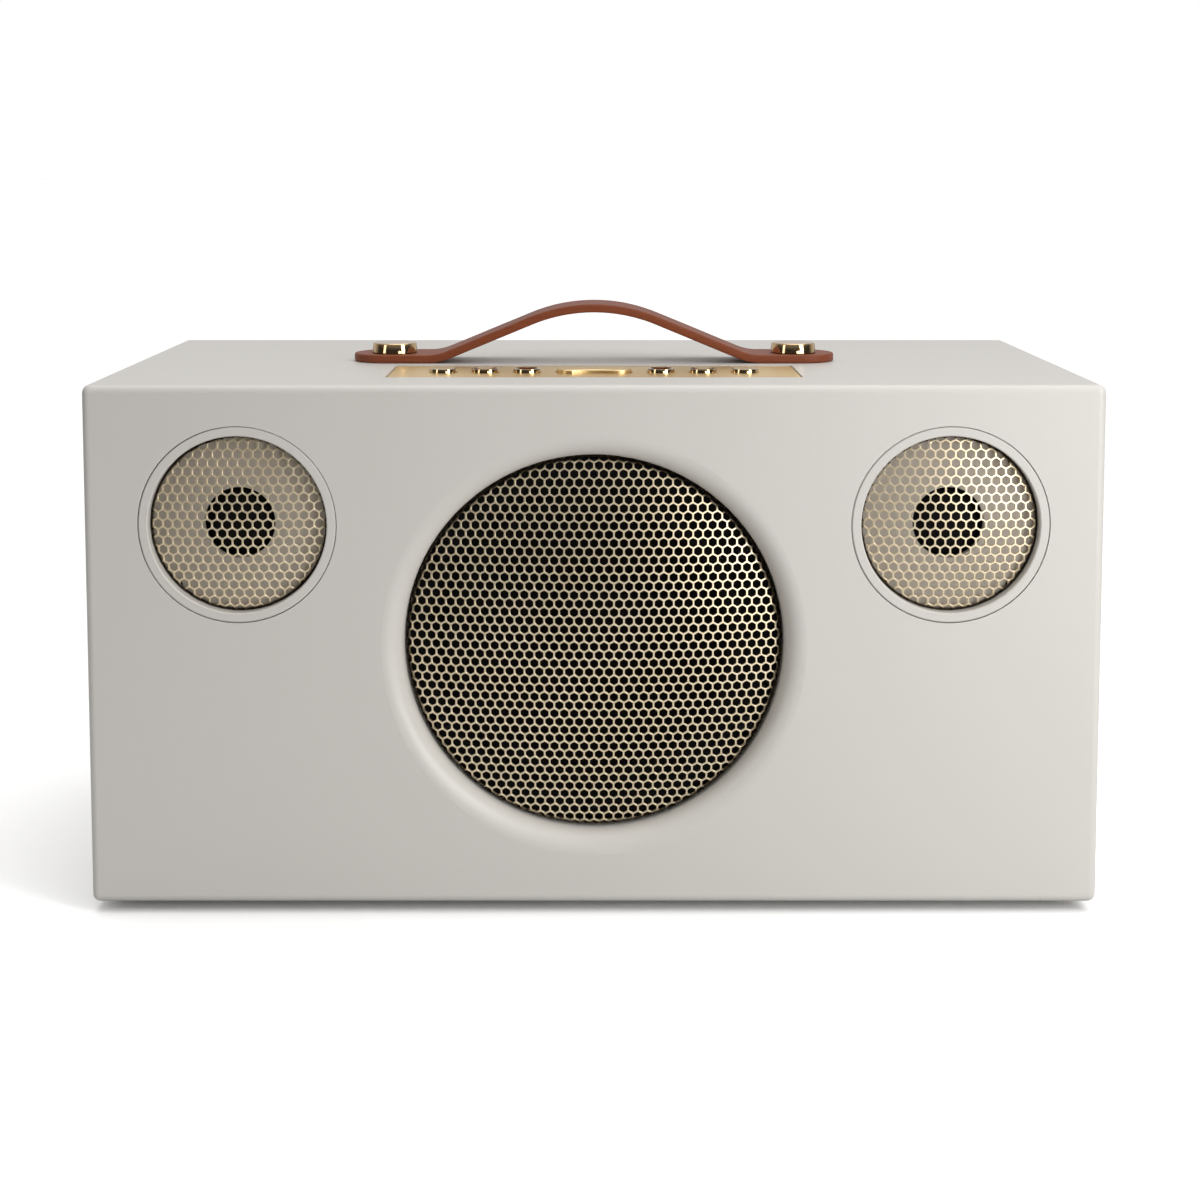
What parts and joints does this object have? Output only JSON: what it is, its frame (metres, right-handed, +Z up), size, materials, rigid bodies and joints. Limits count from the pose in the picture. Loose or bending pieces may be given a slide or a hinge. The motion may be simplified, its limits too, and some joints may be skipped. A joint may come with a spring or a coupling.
{
  "type": "table radio speaker",
  "caption": "Table radio speaker with a domed brass bass grille, twin tweeters, a brass control strip in the top and an arched leather carrying strap.",
  "frame": {"origin": "on the surface it stands on, under the middle of the cabinet", "axes": "+Z up, +X to the right of someone facing the front, -Y out of the front"},
  "size_m": [0.38, 0.19, 0.2253],
  "materials": {
    "cabinet_paint": "satin warm-grey paint on fibreboard",
    "trim_paint": "satin warm-grey paint on moulded plastic",
    "bare_fibreboard": "bare fibreboard",
    "rear_paint": "satin warm-grey paint on fibreboard",
    "foot_rubber": "matt black rubber",
    "gasket_foam": "closed-cell foam",
    "surround_rubber": "soft black rubber",
    "black_moulding": "fine-textured black moulding",
    "gloss_moulding": "gloss black moulding",
    "black_screws": "black-oxide steel",
    "basket_steel": "black powder-coated pressed steel",
    "plate_steel": "black powder-coated plate",
    "grille_brass": "perforated sheet, satin brass finish",
    "brushed_brass": "fine brushed along its length",
    "button_brass": "satin brass",
    "polished_brass": "polished",
    "gold_plated": "thin gold plating",
    "plated_steel": "zinc-plated steel",
    "ferrite": "sintered ferrite",
    "cone_paper": "pressed black paper pulp",
    "coil_former": "wound with enamelled copper",
    "doped_cloth": "resin-doped cloth",
    "strap_leather": "brown vegetable-tanned leather",
    "circuit_board": "green solder mask",
    "sink_aluminium": "plain extruded",
    "transformer_tape": "yellow polyester tape",
    "damping_felt": "loose polyester wadding"
  },
  "bodies": {
    "cabinet": {"amplifier_board": "circuit_board", "aux_socket": "plated_steel", "bass_port": "black_moulding", "cabinet_braces": "bare_fibreboard", "cabinet_shell": "cabinet_paint", "connector_plate": "plate_steel", "control_board": "circuit_board", "control_frame": "black_moulding", "control_panel": "brushed_brass", "damping_pads": "damping_felt", "heat_sink": "sink_aluminium", "mains_inlet": "black_moulding", "mains_transformer": "transformer_tape", "phono_sockets": "gold_plated", "plate_screws": "black_screws", "power_supply_board": "circuit_board", "rear_panel": "rear_paint", "rear_screws": "black_screws", "rocker_pin": "plated_steel", "rubber_feet": "foot_rubber", "strap": "strap_leather", "strap_bolts": "polished_brass", "strap_nuts": "plated_steel", "switch_frame": "black_moulding", "tact_switches": "black_moulding", "tweeter_faceplate_left": "trim_paint", "tweeter_faceplate_right": "trim_paint", "tweeter_grille_left": "grille_brass", "tweeter_grille_right": "grille_brass", "tweeter_magnet_left": "ferrite", "tweeter_magnet_right": "ferrite", "tweeter_ring_left": "trim_paint", "tweeter_ring_right": "trim_paint", "tweeter_screws": "black_screws", "tweeter_surround_left": "doped_cloth", "tweeter_surround_right": "doped_cloth", "wireless_board": "circuit_board", "woofer_basket": "basket_steel", "woofer_gasket": "gasket_foam", "woofer_grille": "grille_brass", "woofer_magnet": "ferrite", "woofer_pole": "plated_steel", "woofer_screws": "black_screws", "woofer_spider": "doped_cloth", "woofer_surround": "surround_rubber", "woofer_top_plate": "plated_steel"},
    "woofer_cone": {"woofer_cone": "cone_paper", "woofer_dust_cap": "cone_paper", "woofer_voice_coil": "coil_former"},
    "tweeter_dome_left": {"tweeter_dome_left": "doped_cloth"},
    "tweeter_dome_right": {"tweeter_dome_right": "doped_cloth"},
    "button_left_inner": {"button_left_inner": "button_brass"},
    "button_left_middle": {"button_left_middle": "button_brass"},
    "button_left_outer": {"button_left_outer": "button_brass"},
    "button_right_inner": {"button_right_inner": "button_brass"},
    "button_right_middle": {"button_right_middle": "button_brass"},
    "button_right_outer": {"button_right_outer": "button_brass"},
    "volume_rocker": {"volume_rocker": "button_brass"},
    "power_switch": {"power_switch": "gloss_moulding"},
    "pairing_button": {"pairing_button": "black_moulding"}
  },
  "joints": [
    {"name": "woofer_cone_travel", "type": "slide", "parent": "cabinet", "child": "woofer_cone", "axis": [0, -1, 0], "range_m": [-0.003, 0.003], "stiffness_N_per_m": 600, "deforming": ["woofer_surround", "woofer_spider"]},
    {"name": "tweeter_dome_left_travel", "type": "slide", "parent": "cabinet", "child": "tweeter_dome_left", "axis": [0, -1, 0], "range_m": [-0.0003, 0.0003], "stiffness_N_per_m": 25, "deforming": ["tweeter_surround_left"]},
    {"name": "tweeter_dome_right_travel", "type": "slide", "parent": "cabinet", "child": "tweeter_dome_right", "axis": [0, -1, 0], "range_m": [-0.0003, 0.0003], "stiffness_N_per_m": 25, "deforming": ["tweeter_surround_right"]},
    {"name": "button_left_inner_press", "type": "slide", "parent": "cabinet", "child": "button_left_inner", "axis": [0, 0, -1], "range_m": [0, 0.0006], "stiffness_N_per_m": 200, "springref_m": -0.001},
    {"name": "button_left_middle_press", "type": "slide", "parent": "cabinet", "child": "button_left_middle", "axis": [0, 0, -1], "range_m": [0, 0.0006], "stiffness_N_per_m": 200, "springref_m": -0.001},
    {"name": "button_left_outer_press", "type": "slide", "parent": "cabinet", "child": "button_left_outer", "axis": [0, 0, -1], "range_m": [0, 0.0006], "stiffness_N_per_m": 200, "springref_m": -0.001},
    {"name": "button_right_inner_press", "type": "slide", "parent": "cabinet", "child": "button_right_inner", "axis": [0, 0, -1], "range_m": [0, 0.0006], "stiffness_N_per_m": 200, "springref_m": -0.001},
    {"name": "button_right_middle_press", "type": "slide", "parent": "cabinet", "child": "button_right_middle", "axis": [0, 0, -1], "range_m": [0, 0.0006], "stiffness_N_per_m": 200, "springref_m": -0.001},
    {"name": "button_right_outer_press", "type": "slide", "parent": "cabinet", "child": "button_right_outer", "axis": [0, 0, -1], "range_m": [0, 0.0006], "stiffness_N_per_m": 200, "springref_m": -0.001},
    {"name": "volume_rocker_tilt", "type": "hinge", "parent": "cabinet", "child": "volume_rocker", "pos_m": [0, -0.045, 0.1962], "axis": [0, 1, 0], "range_deg": [-3, 3], "stiffness_Nm_per_rad": 0.02},
    {"name": "power_switch_rock", "type": "hinge", "parent": "cabinet", "child": "power_switch", "pos_m": [-0.014, 0.0835, 0.066], "axis": [1, 0, 0], "range_deg": [0, 14]},
    {"name": "pairing_button_press", "type": "slide", "parent": "cabinet", "child": "pairing_button", "axis": [0, -1, 0], "range_m": [0, 0.0006], "stiffness_N_per_m": 12, "springref_m": -0.001}
  ]
}
